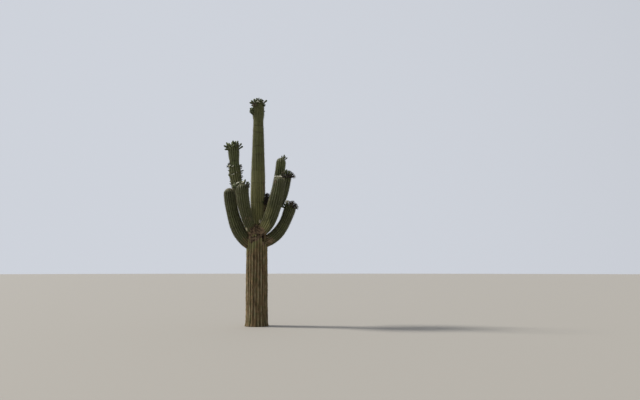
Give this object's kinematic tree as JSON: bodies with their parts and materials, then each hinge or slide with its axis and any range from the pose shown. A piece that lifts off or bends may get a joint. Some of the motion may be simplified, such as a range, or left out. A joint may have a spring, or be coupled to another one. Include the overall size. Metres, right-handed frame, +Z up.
{
  "type": "saguaro cactus",
  "caption": "Tall columnar desert cactus with a ribbed trunk, upturned ribbed arms and flower buds on their tips, cut flat at ground level.",
  "frame": {"origin": "centre of the flat cut under the trunk, at ground level", "axes": "+Z up along the trunk; +X to the right and +Y away, seen from the front"},
  "size_m": [2.2757, 1.6727, 7.0251],
  "materials": {
    "trunk_skin": "waxy green skin on the upper stem, brown corky old skin at the foot",
    "arm_skin": "waxy olive green skin, scarred brown in places",
    "spines": "straw to grey, dull",
    "buds": "green scaled flower tubes and buds, satin",
    "petals": "creamy white waxy petals",
    "withered": "dried dark brown flowers and young fruit"
  },
  "bodies": {
    "root": {"trunk": "trunk_skin", "left_low_arm_elbow": "arm_skin", "left_low_arm_shaft": "arm_skin", "left_tall_arm_elbow": "arm_skin", "left_tall_arm_shaft": "arm_skin", "left_front_arm_elbow": "arm_skin", "left_front_arm_shaft": "arm_skin", "right_tall_arm_elbow": "arm_skin", "right_tall_arm_shaft": "arm_skin", "right_front_arm_elbow": "arm_skin", "right_front_arm_shaft": "arm_skin", "right_slim_arm_elbow": "arm_skin", "right_slim_arm_shaft": "arm_skin", "right_low_arm_elbow": "arm_skin", "right_low_arm_shaft": "arm_skin", "stub": "arm_skin"}
  },
  "joints": []
}
